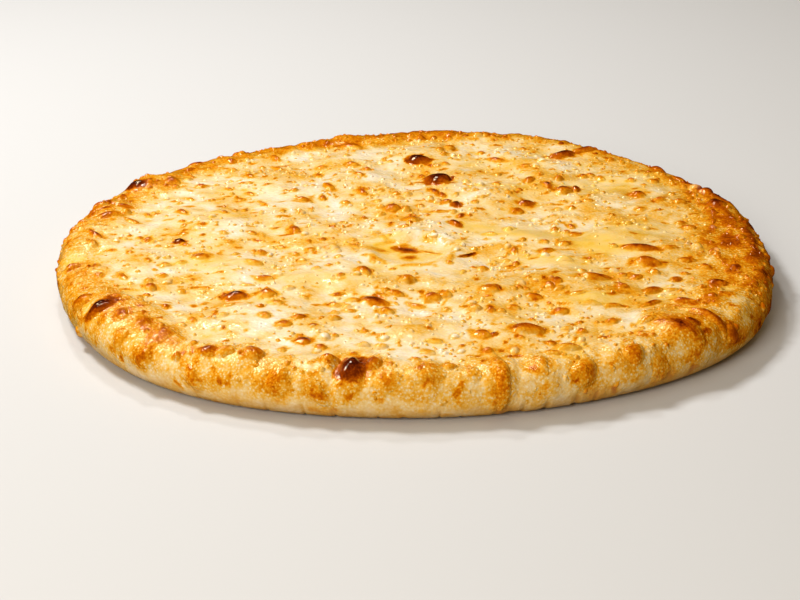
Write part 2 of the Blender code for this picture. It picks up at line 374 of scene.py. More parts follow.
    (95, 86, 7, 4, -70, 1.2, 0.50), (132, 13, 7, 6, -50, 1.4, 0.56), (153, 15, 5, 4, 0, 1.0, 0.56),
    (75, 14, 6, 4, -70, 1.0, 0.62), (76, 4, 6, 6, 0, 0.9, 0.60), (67, 11, 5, 3, 70, 0.7, 0.52),
    (142, 72, 6, 7, 60, 2.2, 0.06), (147, 68, 8, 6, -30, 1.4, 0.60), (150, 50, 13, 10, 70, 1.4, 0.62),
    (127, 103, 9, 7, -30, 1.4, 0.60), (136, 88, 9, 6, -50, 1.2, 0.62), (145, 22, 5, 2, 80, 0.6, 0.50),
    # round the vent: torn dough, stains and a dark streak
    (19, -17, 4, 3, 60, 1.2, 0.05), (22, -10, 3, 4, 0, 1.0, 0.0), (8, 0, 5, 3, -20, 0.9, 0.0),
    (-5, -19, 12, 6, -22, 0.2, 0.80), (-6, -14, 6, 4, 0, 0.2, 0.50), (-3, -29, 7, 6, 0, 0.2, 0.62),
    (-17, -20, 11, 6, -10, 0.2, 0.47), (6, -22, 14, 3, -32, 0.2, 0.50), (24, -25, 9, 2, 38, 0.9, 0.92),
    (-29, -13, 4, 9, 20, 0.4, 0.42), (16, -29, 3, 9, -12, 0.3, 0.42), (-20, -33, 3, 6, 0, 0.3, 0.42),
    (-20, 2, 5, 10, 0, 0.3, 0.36), (-16, -1, 3, 10, 20, 0.3, 0.40), (22, -5, 2, 11, -25, 0.3, 0.44),
)


# puffed parts of the rim: x, y, length, width in mm, turn, height in mm
rimPuffs = (
    (-128, -104, 80, 38, -52, 2.2), (-80, -140, 38, 20, -24, 1.5), (-48, -152, 30, 26, -10, 1.2),
    (-2, -158, 42, 24, 0, 1.0), (34, -155, 40, 16, 96, 1.3), (61, -149, 30, 26, 70, 1.2),
    (91, -138, 34, 28, 60, 1.4), (114, -110, 48, 30, -42, 1.8), (136, -80, 48, 20, -56, 1.4),
    (-160, -10, 54, 20, 88, 1.2), (-152, 38, 46, 22, -72, 1.2), (-143, 78, 30, 18, -50, 1.4),
    (-35, 147, 66, 16, 12, 1.2), (24, 154, 64, 14, -5, 1.0), (152, 45, 52, 24, 105, 1.0),
    (160, -10, 60, 22, 88, 1.0),
)

# butter lying on the top, and smooth dough with few blisters: x, y, length, width in mm, turn, strength
butterPools = (
    (49, 0, 46, 16, -6, 0.9), (88, -14, 34, 24, -30, 1.0), (104, 4, 44, 24, 8, 0.5),
    (30, 8, 28, 14, -15, 0.9), (78, -83, 24, 13, 0, 0.9), (62, -36, 46, 12, -15, 0.6),
    (-95, -40, 46, 18, -8, 0.6), (-45, -60, 50, 18, 0, 0.4), (-2, -28, 34, 22, 0, 0.6),
    (-16, -17, 14, 9, -15, 1.0), (-13, -7, 18, 8, 10, 0.8), (21, -13, 5, 11, -10, 0.9),
    (-12, -47, 40, 14, 0, 0.5), (100, 75, 60, 26, 30, 0.6), (-105, 20, 40, 20, 0, 0.4),
    (-90, 60, 30, 14, 0, 0.3), (25, 70, 60, 16, -10, 0.4), (30, 105, 50, 14, -5, 0.4),
)

# torn white dough that stands up behind the vent: x, y, length, width in mm, turn, strength
tornDough = ((15, -11, 20, 10, -32, 0.9), (6, -5, 14, 6, -20, 0.5))

# how much the rim is browned and how far in, at angles round the pie: angle, toast, width in mm
rimToast = (
    (-180, 0.42, 26), (-160, 0.42, 27), (-142, 0.43, 36), (-125, 0.36, 28), (-108, 0.33, 22),
    (-90, 0.34, 22), (-70, 0.33, 22), (-52, 0.31, 24), (-38, 0.38, 34), (-24, 0.56, 42), (0, 0.70, 42),
    (20, 0.64, 32), (40, 0.54, 23), (58, 0.50, 20), (70, 0.56, 24), (80, 0.62, 32), (88, 0.67, 38),
    (98, 0.69, 40), (104, 0.66, 36), (112, 0.60, 29), (135, 0.55, 28), (150, 0.60, 36), (165, 0.50, 31),
    (180, 0.42, 26),
)


def ovalGap(u, v, domes, which):
    # distance from a dome's middle in its own half-lengths, 1 on its outline
    along, across = turned(u - domes["u"][which], v - domes["v"][which], domes["turn"][which])
    return np.hypot(along / domes["long"][which], across / domes["wide"][which])


domeReach = 0.56  # of a blister's length and width: half of it, and a little for the soft foot


def makeDomes(rows):
    # rows of x, y, length, width, turn, height and toast (mm and degrees) as arrays in metres
    table = np.array(rows, dtype=float)
    return {
        "u": table[:, 0] * mm, "v": table[:, 1] * mm,
        "long": table[:, 2] * mm * domeReach, "wide": table[:, 3] * mm * domeReach,
        "turn": table[:, 4], "height": table[:, 5] * mm, "toast": table[:, 6],
    }


def patchGap(u, v, atX, atY, length, width, turn):
    # distance from an oval patch's middle in its own half-lengths, 1 on its outline
    along, across = turned(u / mm - atX, v / mm - atY, turn)
    return np.hypot(along / (length / 2), across / (width / 2))


def patchShare(u, v, patches, soft):
    # the strongest of the oval patches that a point lies in, with a soft edge
    share = np.zeros_like(u)
    for *oval, strength in patches:
        share = np.maximum(share, strength * smoothStep(1 + soft, 1 - soft, patchGap(u, v, *oval)))
    return share


# the butter that fills the vent: its oval, its level, its fall at the edge and how softly it meets the dough
vent = makeDomes(((-2, -26, 42, 34, 0, 0, 0),))
vent.update(level=20.5 * mm, fall=3 * mm, soft=0.9 * mm)

# count, smallest and largest in mm, height over width, share of pale ones, seed
scatter = {
    "bubbles": (430, 2.6, 6.0, 0.36, 0.22, 12),
    "pimples": (2200, 1.5, 3.2, 0.42, 0.46, 17),
    "reach": 0.174,  # how far from the middle, walked over the shoulder, m
    "paleReach": 0.148,  # the same for pale ones
    "sideFrom": 0.156,  # from here to the next they thin out
    "sideTo": 0.170,
    "crowding": 26,  # mm from one crowded place to the next
}


def scatterDomes(kind, room):
    # chance domes over the top and the shoulder: fewer on butter and down the side, none on a larger blister.
    # Sizes lean to the small end: small + (big - small) * chance squared
    count, small, big, steepness, paleShare, seed = scatter[kind]
    chance = np.random.default_rng(seed)
    rows = []
    tries = 14 * count
    radius = scatter["reach"] * np.sqrt(chance.uniform(size=tries))
    angle = chance.uniform(-math.pi, math.pi, tries)
    u, v = radius * np.cos(angle), radius * np.sin(angle)
    size = small + (big - small) * chance.uniform(size=tries) ** 2
    narrow = chance.uniform(0.65, 1.0, tries)
    turn = chance.uniform(-90, 90, tries)
    rise = size * narrow * chance.uniform(0.7, 1.15, tries) * steepness
    pale = (chance.uniform(size=tries) < paleShare) & (radius < scatter["paleReach"])
    rise *= np.where(pale, 0.85, 1.0)
    toast = np.where(pale, chance.uniform(0.0, 0.12, tries), chance.uniform(0.32, 0.62, tries))
    wet = patchShare(u, v, butterPools, 0.35)
    flat = np.stack([u, v, np.zeros_like(u)], axis=1)
    crowd = 0.5 + 0.9 * slopeNoise(flat, scatter["crowding"] * mm, seed + 1)
    crowd *= 1 - 0.6 * smoothStep(scatter["sideFrom"], scatter["sideTo"], radius)
    outside = ovalGap(u, v, vent, 0) > 0.95
    good = (chance.uniform(size=tries) < crowd * (1 - 0.85 * wet)) & outside
    for which in np.flatnonzero(good):
        if len(rows) == count:
            break
        near = np.hypot(room["u"] - u[which], room["v"] - v[which])
        if np.all(near > 0.8 * room["long"] + 0.4 * size[which] * mm):
            rows.append((
                u[which] / mm, v[which] / mm, size[which], size[which] * narrow[which],
                turn[which], rise[which], toast[which],
            ))
    return makeDomes(rows)


def skinAt(angle, path):
    # the smooth skin at an angle and a distance walked from the middle of the top along the section: its
    # place before any relief, its outward normal, and its place u, v on the skin laid out flat
    walked, out, up = section
    radius = np.interp(path, walked, out)
    height = np.interp(path, walked, up)
    step = 0.3 * mm
    before = np.clip(path - step, 0, wholePath)
    after = np.clip(path + step, 0, wholePath)
    runOut = np.interp(after, walked, out) - np.interp(before, walked, out)
    runUp = np.interp(after, walked, up) - np.interp(before, walked, up)
    runLength = np.hypot(runOut, runUp)
    outline = outlineRadius(angle)
    stretch = outline / (pie["across"] / 2)
    c, s = np.cos(angle), np.sin(angle)
    normal = np.stack([-runUp * c, -runUp * s, runOut], axis=1) / runLength[:, None]
    return {
        "angle": angle,
        "path": path,
        "base": np.stack([radius * stretch * c, radius * stretch * s, height], axis=1),
        "normal": normal,
        "inward": outline - radius * stretch,
        "level": height / pie["rim"],
        "u": path * stretch * c,
        "v": path * stretch * s,
    }


# how far each kind of relief reaches, mm
relief = {
    "lumps": 0.85,
    "puckers": 0.20,
    "folds": 0.10,
    "flames": 1.5,
    "wrinkles": 0.75,
    "creases": 0.7,
    "torn": 1.9,
    "dents": 0.25,
    "pressedFrom": 23.5,  # what stands higher than this is pressed softly under the limit
    "topLimit": 25.9,
}


def nearLine(noise, width):
    # 1 where a noise crosses zero, falling straight to 0 where it is as large as width
    return np.clip(1 - np.abs(noise) / width, 0, 1)


def towards(angle, degrees, far, near):
    # 0 further than far from a direction, 1 nearer than near
    return smoothStep(far, near, np.abs(angleGap(angle, degrees)))


def fieldsAt(skin):
    # the noises that shape and colour share, so that what stands up is also what browned
    base, angle, path, level = skin["base"], skin["angle"], skin["path"], skin["level"]
    topShare = np.clip(2 * level - 1, 0, 1)
    uneven = noiseOf("uneven", base)
    angles, levels, widths = np.array(rimToast).T
    width = np.interp(np.degrees(angle), angles, widths) * mm
    inward = skin["inward"] + uneven * 7 * mm
    lowEdge = 0.40 - 0.22 * towards(angle, 0, 46, 22)
    rimBand = smoothStep(1.25, 0.45, inward / width)
    rimBand *= smoothStep(-0.2, 0.2, level - lowEdge + 0.12 * uneven)
    # two ways to wrap noise round the rim: drawn out down the side, and drawn out along the rim
    polar = np.stack([np.cos(angle) * 0.17, np.sin(angle) * 0.17, path * 0.3], axis=1)
    tangent = np.stack([np.cos(angle) * 0.05, np.sin(angle) * 0.05, path], axis=1)
    bulges = np.abs(noiseOf("wideBulges", polar)) + 0.5 * np.abs(noiseOf("fineBulges", polar)) - 0.35
    lumps = noiseOf("lumps", base)
    puckers = noiseOf("puckers", base)
    pools = patchShare(skin["u"], skin["v"], butterPools, 0.55)
    pools *= np.clip(0.9 + 0.5 * noiseOf("pools", base), 0, 1)
    # butter colour in the hollows between lumps and puckers: partly butter run into the dips, partly painted
    # warm shade there
    hollowButterShade = smoothStep(0.25, 0.95, -lumps - 0.5 * puckers)
    ventGap = ovalGap(skin["u"], skin["v"], vent, 0)
    return {
        "topShare": topShare,
        "top": smoothStep(0.2, 1.0, topShare),
        "under": smoothStep(footPath - 2 * mm, footPath + 1 * mm, path),
        "uneven": uneven,
        "rimBand": rimBand,
        "rimLevel": np.interp(np.degrees(angle), angles, levels),
        "lowEdge": lowEdge,
        "wet": np.maximum(pools, 0.45 * hollowButterShade) * topShare,
        "ventGap": ventGap,
        "inVent": smoothStep(1.25, 0.95, ventGap),
        "torn": patchShare(skin["u"], skin["v"], tornDough, 0.3),
        "ruffle": np.abs(noiseOf("ruffle", base * [1, 0.7, 1])),
        "lumps": lumps,
        "puckers": puckers,
        "folds": nearLine(noiseOf("folds", base * [0.7, 1.2, 1]), 0.12),
        "bulges": bulges,
        "wrinkles": noiseOf("wrinkles", tangent),
        "lines": nearLine(noiseOf("creases", polar * [1, 1, 0.3]), 0.09),
        "front": towards(angle, -95, 75, 50),
        "patchy": towards(angle, -50, 34, 20),
        "right": towards(angle, 0, 70, 40),
        "speckled": rimBand * (0.35 + 0.65 * towards(angle, -90, 150, 85)),
    }


def placeAt(skin, fields, extra):
    # base + normal * (fine relief + extra) + the broad relief upwards. The butter in the vent is a smooth
    # maximum of dough and level: half of (a + b + the root of (a - b)^2 + soft^2). The highest parts are
    # pressed softly under the limit: low + (limit - low) * (1 - exp(-(z - low) / (limit - low)))
    top, calm = fields["top"], 1 - 0.8 * fields["wet"]
    lift = relief["lumps"] * fields["lumps"] * top * (0.5 + 0.5 * calm)
    lift += relief["puckers"] * fields["puckers"] * (0.35 + 0.65 * top) * calm
    lift -= relief["folds"] * fields["folds"] * calm * top * smoothStep(0.0, 0.4, fields["lumps"])
    rimmed, right = fields["rimBand"], fields["right"]
    lift += rimmed * relief["flames"] * fields["bulges"] * (1 - 0.7 * right)
    lift += rimmed * relief["wrinkles"] * fields["wrinkles"] * (0.25 + 0.75 * right)
    lift -= relief["creases"] * fields["lines"] * smoothStep(0.6, 0.2, skin["level"])
    lift += relief["torn"] * fields["torn"] * (0.1 + fields["ruffle"])
    puffs = np.zeros_like(lift)
    for *oval, rise in rimPuffs:
        gap = patchGap(skin["u"], skin["v"], *oval)
        puffs = np.maximum(puffs, rise * np.clip(1 - gap**2, 0, 1) ** 0.75)
    lift = (lift + puffs) * (1 - fields["under"]) * mm + extra
    dents = np.abs(noiseOf("dents", skin["base"])) * relief["dents"] * mm
    lift = np.where(fields["under"] > 0.999, -dents, lift)
    points = skin["base"] + skin["normal"] * lift[:, None]
    broad = broadRelief(skin["base"][:, 0], skin["base"][:, 1], skin["angle"], skin["inward"])
    height = points[:, 2] + broad * fields["topShare"]
    inVent = fields["inVent"]
    fill = vent["level"] + extra - vent["fall"] * smoothStep(0.75, 1.2, fields["ventGap"])
    filled = (height + fill + np.hypot(height - fill, vent["soft"] * inVent)) / 2
    height = filled * inVent + height * (1 - inVent)
    low, limit = relief["pressedFrom"] * mm, relief["topLimit"] * mm
    pressed = low + (limit - low) * (1 - np.exp(-np.clip(height - low, 0, 1) / (limit - low)))
    points[:, 2] = np.where(height > low, pressed, np.clip(height, 0, 1))
    return points - outlineMiddle()


def settled(domes):
    # the rows tell where each blister is seen against the level of the shoulder. It stands on higher skin, so
    # it comes towards the camera by its lift over that level times the slope of the line of sight
    place = cameraPlace()
    seenU, seenV = domes["u"], domes["v"]
    for again in range(2):
        angle = np.arctan2(domes["v"], domes["u"])
        stretch = outlineRadius(angle) / (pie["across"] / 2)
        skin = skinAt(angle, np.minimum(np.hypot(domes["u"], domes["v"]) / stretch, footPath))
        fields = fieldsAt(skin)
        lift = placeAt(skin, fields, 0.0)[:, 2] + 0.45 * domes["height"] - pie["rim"]
        share = np.clip(lift, 0, 1) * fields["topShare"] / (place[2] - pie["rim"])
        domes["u"] = seenU + share * (place[0] - seenU)
        domes["v"] = seenV + share * (place[1] - seenV)
    return domes


browning = {
    "paleBelow": 0.15,  # a blister with less toast than this stays pale
    "paintedShadeBack": 0.16,  # how far behind its middle, away from the camera, a blister is browned most, in its half-widths: painted shade on its back slope
    "foot": 0.64,  # toast at a blister's foot, for 1 on its crest
    "halo": 1.5,  # where the browning round it ends, in its half-lengths
    "asked": (0, 0.45, 0.60, 0.75, 0.90, 1),  # a row's toast, and the toast that its crest gets
    "given": (0, 0.52, 0.70, 0.84, 0.96, 1.0),
    "paleRing": 0.34,  # the browned ring round a pale blister
    "ventRing": 0.44,  # the one round the vent
    "rimOffset": -0.085,  # added to every level in rimToast
    "stains": 0.21,  # the mean on the top
    "low": 0.12,  # the pale low side and the underside
}


def crestToast(gap):
    # 1 on the crest, falling smoothly to foot on the outline and from there to 0 at the end of the halo
    foot = browning["foot"]
    inside = 1 - (1 - foot) * smoothStep(0.2, 1, gap)
    return np.where(gap < 1, inside, foot * smoothStep(browning["halo"], 1.0, gap))


def blisterToast(skin, domes):
    # the strongest toast that any blister gives a point, and how far the point lies on a pale one. A charred
    # blister keeps more of its crest's toast down to its foot: the share is raised to a power below 1
    base, u, v = skin["base"], skin["u"], skin["v"]
    wobble = 1 + 0.32 * noiseOf("wideWobble", base) + 0.22 * noiseOf("fineWobble", base)
    browned = np.zeros_like(u)
    pale = np.zeros_like(u)
    crests = np.interp(domes["toast"], browning["asked"], browning["given"])
    powers = np.interp(domes["toast"], (0.75, 0.95), (1, 0.55))
    reaches = 2.2 * np.maximum(domes["long"], domes["wide"])
    for which, reach in enumerate(reaches):
        inBox = (np.abs(u - domes["u"][which]) < reach) & (np.abs(v - domes["v"][which]) < reach)
        near = np.flatnonzero(inBox)
        # the crest's browning is moved to the back slope, away from the camera, as painted shade there
        back = browning["paintedShadeBack"] * domes["wide"][which]
        gap = ovalGap(u[near], v[near] - back, domes, which) * wobble[near]
        colour = crests[which] * crestToast(gap) ** powers[which]
        if domes["toast"][which] < browning["paleBelow"]:
            pale[near] = np.maximum(pale[near], smoothStep(1.1, 0.4, gap))
            colour = browning["paleRing"] * smoothStep(0.5, 0.95, gap) * smoothStep(1.7, 1.05, gap)
        browned[near] = np.maximum(browned[near], colour)
    return browned, pale


def toastAt(skin, fields, domes):
    # the layers that the material reads. Toast from 0 to 1 is the cube root of the sum of the cubes of the
    # rim's, the blisters' and the stains' toast. The low side and the underside have paler toast of their own
    base, torn, wet, right = skin["base"], fields["torn"], fields["wet"], fields["right"]
    browned, pale = blisterToast(skin, domes)
    rim = fields["rimLevel"] + browning["rimOffset"] + 0.06 * fields["bulges"] * fields["front"]
    rim += 0.32 * fields["wrinkles"] * right
    rim += (0.10 + 0.14 * fields["patchy"]) * noiseOf("rimPatches", base)
    rim += 0.08 * noiseOf("rimSpecks", base)
    most = 0.42 + (0.3 + 0.25 * right) * rim
    rim = np.minimum(np.clip(rim, 0.05, 1), most) * fields["rimBand"]
    stains = browning["stains"] + 0.17 * noiseOf("stains", base) + 0.12 * noiseOf("smallStains", base)
    stains += 0.08 * smoothStep(-20 * mm, 110 * mm, skin["u"])
    stains += 0.05 * fields["lumps"] + 0.03 * fields["puckers"]
    freckles = 0.38 * smoothStep(0.34, 0.70, noiseOf("freckles", base))
    stains = np.clip(stains * (1 - 0.45 * wet), 0.02, 1) + freckles * (1 - 0.7 * wet)
    stains = stains * (1 - 0.2 * pale) * (1 - 0.75 * torn)
    stains += 0.34 * torn * smoothStep(0.22, 0.04, fields["ruffle"])
    ring = smoothStep(0.14, 0.04, np.abs(fields["ventGap"] - 0.86))
    ring *= smoothStep(-0.15, 0.25, fields["uneven"])
    stains = np.maximum(stains, browning["ventRing"] * ring)
    total = np.cbrt(rim**3 + browned**3 + stains**3)
    ragged = 0.14 * fields["uneven"] + 0.12 * fields["puckers"]
    low = smoothStep(-0.30, 0.15, skin["level"] - fields["lowEdge"] + ragged)
    # the low side's creases get more toast: painted shade in the creases
    lowToast = browning["low"] + 0.12 * fields["lines"] + 0.12 * noiseOf("lowStains", base)
    total = total * (0.72 + 0.28 * low) + (1 - low) * lowToast
    spots = browning["low"] + 0.5 * smoothStep(0.05, 0.55, noiseOf("underStains", base))
    spots += 0.12 * noiseOf("underSpecks", base)
    total = np.where(fields["under"] > 0.5, spots, total)
    return {
        "toast": np.clip(total, 0, 1),
        "pale": np.maximum(pale, 0.5 * torn),
        "flour": (1 - low) * (1 - fields["under"]),
        "wet": wet,
        "rim": fields["speckled"],
    }


# the two discs of the texture: each one's middle, which is on the diagonal, and its radius
textureDiscs = {"upper": (0.405, 0.40), "under": (0.815, 0.180)}


def discMap(disc, angle, share):
    # a place on a disc of the texture: its middle plus a share of its radius along the angle
    middle, radius = textureDiscs[disc]
    return middle + radius * share[:, None] * np.stack([np.cos(angle), np.sin(angle)], axis=1)


def gridNet():
    # the top is a square net drawn out to a disc: ring number is the larger of |i| and |j|, and the points of
    # a ring lie at equal angles. Rows of the outer ring's points go on down the side and in under the pie
    rings = pie["rings"]
    steps = np.arange(-rings, rings + 1)
    i, j = (part.ravel().astype(float) for part in np.meshgrid(steps, steps, indexing="ij"))
    wide = np.abs(i) > np.abs(j)
    radius = np.where(wide, i, j)
    other = np.where(wide, j, i) / np.where(radius == 0, 1, radius)
    turn = np.where(wide, other * math.pi / 4, math.pi / 2 - other * math.pi / 4)
    angle = np.arctan2(radius * np.sin(turn), radius * np.cos(turn))
    share = np.abs(radius) / rings
    side = len(steps)
    index = np.arange(side * side).reshape(side, side)
    quads = np.stack([index[:-1, :-1], index[1:, :-1], index[1:, 1:], index[:-1, 1:]], axis=-1)
    quads = quads.reshape(-1, 4)
    edge = np.flatnonzero(share == 1)
    edge = edge[np.argsort(angle[edge])]
    rows = pie["sideRows"] + pie["underRows"]
    ringCount = len(edge)
    below = side * side + np.arange(rows * ringCount).reshape(rows, ringCount)
    walk = np.vstack([edge, below])
    following = np.roll(walk, -1, axis=1)
    belt = np.stack([walk[:-1], walk[1:], following[1:], following[:-1]], axis=-1)
    pole = side * side + rows * ringCount
    fan = np.stack([walk[-1], np.full(ringCount, pole), following[-1]], axis=-1)
    return angle, share, angle[edge], quads, belt, fan


def shapeCrust(domes):
    # the net carried onto the skin: its rings are even shares of the walk to the widest part, the side rows
    # are even steps on to the foot, and the rows under the pie lie closer together near the foot
    angle, share, edgeAngle, quads, belt, fan = gridNet()
    sideRows, underRows = pie["sideRows"], pie["underRows"]
    sideSteps = np.arange(1, sideRows + 1) / sideRows
    underSteps = (np.arange(1, underRows + 1) / (underRows + 0.35)) ** 1.5
    downSide = widestPath + sideSteps * (footPath - widestPath)
    inUnder = footPath + underSteps * (wholePath - footPath)
    walked = np.concatenate([downSide, inUnder])
    allAngle = np.concatenate([angle, np.tile(edgeAngle, len(walked)), [0.0]])
    allPath = np.concatenate([share * widestPath, np.repeat(walked, len(edgeAngle)), [wholePath]])
    skin = skinAt(allAngle, allPath)
    fields = fieldsAt(skin)
    points = placeAt(skin, fields, 0.0)
    layers = toastAt(skin, fields, domes)
    upperBelt = belt[:sideRows].reshape(-1, 4)
    lowerBelt = belt[sideRows:].reshape(-1, 4)
    upper = discMap("upper", allAngle, allPath / footPath)
    lower = discMap("under", allAngle, (wholePath - allPath) / (wholePath - footPath))
    maps = [upper[quads.ravel()], upper[upperBelt.ravel()], lower[lowerBelt.ravel()], lower[fan.ravel()]]
    faceSets = (quads, upperBelt, lowerBelt, fan)
    triangles = sum(faces.size - 2 * len(faces) for faces in faceSets)
    print("crust:", len(points), "points,", triangles, "triangles")
    return points, faceSets, np.vstack(maps), layers


# how each kind of dome is cut: rings, points round a ring, how deep its edge is sunk in mm, how soft its
# shape is, whether its own toast counts, and the seed of its outlines
domeCuts = {
    "crustBlisters": (8, 22, 0.35, 1.0, False, 21),
    "crustBubbles": (5, 14, 0.30, 1.2, False, 22),
    "crustPimples": (4, 10, 0.22, 1.8, True, 23),
}


def shapeDomes(domes, colouring, cut):
    # every dome is a disc of rings on the skin: height * (1 - d^2)^crisp, with its edge sunk under the skin.
    # The flatter it is for its width, the softer and lower it gets. Its outline swings by a few cosines
    rings, around, sink, softness, ownToast, seed = cut
    chance = np.random.default_rng(seed)
    count = len(domes["u"])
    gap = np.linspace(0, 1.14, rings + 1)[1:] ** 0.9
    phi = 2 * math.pi * np.arange(around) / around
    ringGap = np.concatenate([[0], np.repeat(gap, around)])
    ringPhi = np.concatenate([[0], np.tile(phi, rings)])
    swing = np.ones((count, len(ringPhi)))
    for waves, size in ((2, 0.08), (3, 0.08), (5, 0.05)):
        swing += size * np.cos(waves * ringPhi + chance.uniform(0, 6.3, count)[:, None])
    along = domes["long"][:, None] * ringGap * np.cos(ringPhi) * swing
    across = domes["wide"][:, None] * ringGap * np.sin(ringPhi) * swing
    c, s = np.cos(np.radians(domes["turn"]))[:, None], np.sin(np.radians(domes["turn"]))[:, None]
    u = (domes["u"][:, None] + along * c - across * s).ravel()
    v = (domes["v"][:, None] + along * s + across * c).ravel()
    steep = domes["height"] / domes["wide"]
    crisp = softness * chance.uniform(0.8, 1.2, count) * np.interp(steep, (0.15, 0.5), (1.3, 0.85))
    rise = domes["height"] * np.interp(steep, (0.10, 0.35, 0.70), (0.85, 1.25, 0.9))
    dome = rise[:, None] * np.clip(1 - ringGap**2, 0, 1) ** crisp[:, None]
    dome -= sink * mm * smoothStep(0.75, 1.1, ringGap)
    angle = np.arctan2(v, u)
    path = np.minimum(np.hypot(u, v) / (outlineRadius(angle) / (pie["across"] / 2)), footPath)
    skin = skinAt(angle, path)
    fields = fieldsAt(skin)
    points = placeAt(skin, fields, dome.ravel())
    layers = toastAt(skin, fields, colouring)
    if ownToast:
        own = (0.85 * domes["toast"][:, None] * crestToast(ringGap)).ravel()
        tint = np.tile(smoothStep(1.0, 0.4, ringGap), count)
        light = np.repeat(domes["toast"] < browning["paleBelow"], len(ringGap))
        toast = layers["toast"]
        layers["toast"] = np.where(light, toast * (1 - 0.25 * tint), np.cbrt(toast**3 + own**3))
    ring = 1 + np.arange(rings * around).reshape(rings, around)
    nextOne = np.roll(ring, -1, axis=1)
    cap = np.stack([np.zeros(around, int), ring[0], nextOne[0]], axis=-1)
    belts = np.stack([ring[:-1], ring[1:], nextOne[1:], nextOne[:-1]], axis=-1).reshape(-1, 4)
    offset = (len(ringPhi) * np.arange(count))[:, None, None]
    caps = (cap[None] + offset).reshape(-1, 3)
    belts = (belts[None] + offset).reshape(-1, 4)
    flat = discMap("upper", angle, path / footPath)
    maps = np.vstack([flat[caps.ravel()], flat[belts.ravel()]])
    print("domes:", count, "with", len(caps) + 2 * len(belts), "triangles")
    return points, (caps, belts), maps, layers


def meshPiece(name, points, faceSets, maps, layers):
    # puts arrays of points and faces into one smooth mesh object, with float layers on its points
    mesh = bpy.data.meshes.new(name)
    sizes = np.concatenate([np.full(len(faces), faces.shape[1]) for faces in faceSets])
    corners = np.concatenate([faces.ravel() for faces in faceSets]).astype(np.int32)
    mesh.vertices.add(len(points))
    mesh.vertices.foreach_set("co", points.astype(np.float32).ravel())
    mesh.loops.add(len(corners))
    mesh.loops.foreach_set("vertex_index", corners)
    mesh.polygons.add(len(sizes))
    starts = np.concatenate([[0], np.cumsum(sizes)[:-1]]).astype(np.int32)
    mesh.polygons.foreach_set("loop_start", starts)
    mesh.update(calc_edges=True)
    uvMap = mesh.uv_layers.new(name="OFBake")
    uvMap.uv.foreach_set("vector", maps.astype(np.float32).ravel())
    mesh.validate()
    mesh.shade_smooth()
    for layer, values in layers.items():
        made = mesh.attributes.new(layer, "FLOAT", "POINT")
        made.data.foreach_set("value", values.astype(np.float32))
    piece = bpy.data.objects.new(name, mesh)
    bpy.context.scene.collection.objects.link(piece)
    return piece


class Knot:
    # one output of a node tree. Sums, differences and products of knots and numbers add Math nodes
    def __init__(self, tree, socket=None):
        self.tree, self.socket = tree, socket

    def node(self, kind, settings=None, sockets=None, output=0):
        made = self.tree.nodes.new(kind)
        for name, value in (settings or {}).items():
            if name == "stops":
                self.fillRamp(made.color_ramp, value)
            else:
                setattr(made, name, value)
        for name, value in (sockets or {}).items():
            if isinstance(value, Knot):
                self.tree.links.new(value.socket, made.inputs[name])
            else:
                made.inputs[name].default_value = value
        return Knot(self.tree, made.outputs[output])

    def fillRamp(self, ramp, stops):
        while len(ramp.elements) < len(stops):
            ramp.elements.new(1.0)
        for element, (place, colour) in zip(ramp.elements, stops):
            element.position = place
            element.color = (*colour, 1)

    def maths(self, operation, first, second, clamp=False):
        settings = {"operation": operation, "use_clamp": clamp}
        return self.node("ShaderNodeMath", settings, {0: first, 1: second})

    def __add__(self, other):
        return self.maths("ADD", self, other)

    def __radd__(self, other):
        return self.maths("ADD", other, self)

    def __sub__(self, other):
        return self.maths("SUBTRACT", self, other)

    def __rsub__(self, other):
        return self.maths("SUBTRACT", other, self)

    def __mul__(self, other):
        return self.maths("MULTIPLY", self, other)

    def __rmul__(self, other):
        return self.maths("MULTIPLY", other, self)

    def clamped(self):
        return self.maths("ADD", self, 0.0, clamp=True)

    def between(self, low, high):
        # 0 at low, 1 at high, and a smooth cubic between them
        return self.node(
            "ShaderNodeMapRange", {"interpolation_type": "SMOOTHSTEP"},
            {"Value": self, "From Min": low, "From Max": high},
        )

    def noise(self, spacing, detail, distortion=0.0):
        # fractal noise of this size in metres, from 0 to 1
        sockets = {"Vector": self, "Scale": 1 / spacing, "Detail": detail, "Distortion": distortion}
        return self.node("ShaderNodeTexNoise", {"normalize": True}, {**sockets, "Roughness": 0.55})

    def cells(self, spacing):
        # 1 at scattered points this far apart in metres, falling smoothly to 0 between them
        sockets = {"Vector": self, "Scale": 1 / spacing}
        return self.node("ShaderNodeTexVoronoi", {"feature": "F1"}, sockets).between(0.60, 0.05)

    def blended(self, first, second):
        # mixes two colours by this knot
        sockets = {"Factor": self, 6: first, 7: second}
        return self.node("ShaderNodeMix", {"data_type": "RGBA"}, sockets, output=2)


def sRgb(red, green, blue):
    # a screen colour of 0 to 255 as linear light
    shares = (part / 255 for part in (red, green, blue))
    return tuple(((share + 0.055) / 1.055) ** 2.4 if share > 0.0405 else share / 12.92 for share in shares)


crustLook = {
    "ramp": (
        (0.00, sRgb(240, 229, 208)),
        (0.12, sRgb(237, 217, 178)),
        (0.24, sRgb(233, 199, 132)),
        (0.36, sRgb(228, 172, 64)),
        (0.48, sRgb(220, 144, 16)),
        (0.60, sRgb(200, 110, 4)),
        (0.72, sRgb(168, 76, 2)),
        (0.84, sRgb(117, 42, 2)),
        (0.93, sRgb(79, 22, 3)),
        (1.00, sRgb(55, 13, 4)),
    ),
    "butter": sRgb(238, 192, 70),
    "cream": sRgb(244, 232, 208),
    "floury": sRgb(202, 154, 84),
    "coarse": 0.0046,  # sizes of the noises and pimples, m
    "fine": 0.0013,
    "grain": 0.0006,
    "pimple": 0.0026,
    "bead": 0.0013,
    "bumpDepth": 0.0008,
    "surface": {
        "Specular IOR Level": 0.36,
        "Specular Tint": (1.0, 0.74, 0.36, 1),
        "Subsurface Weight": 0.12,
        "Subsurface Radius": (1.0, 0.55, 0.22),
        "Subsurface Scale": 0.0015,
    },
}


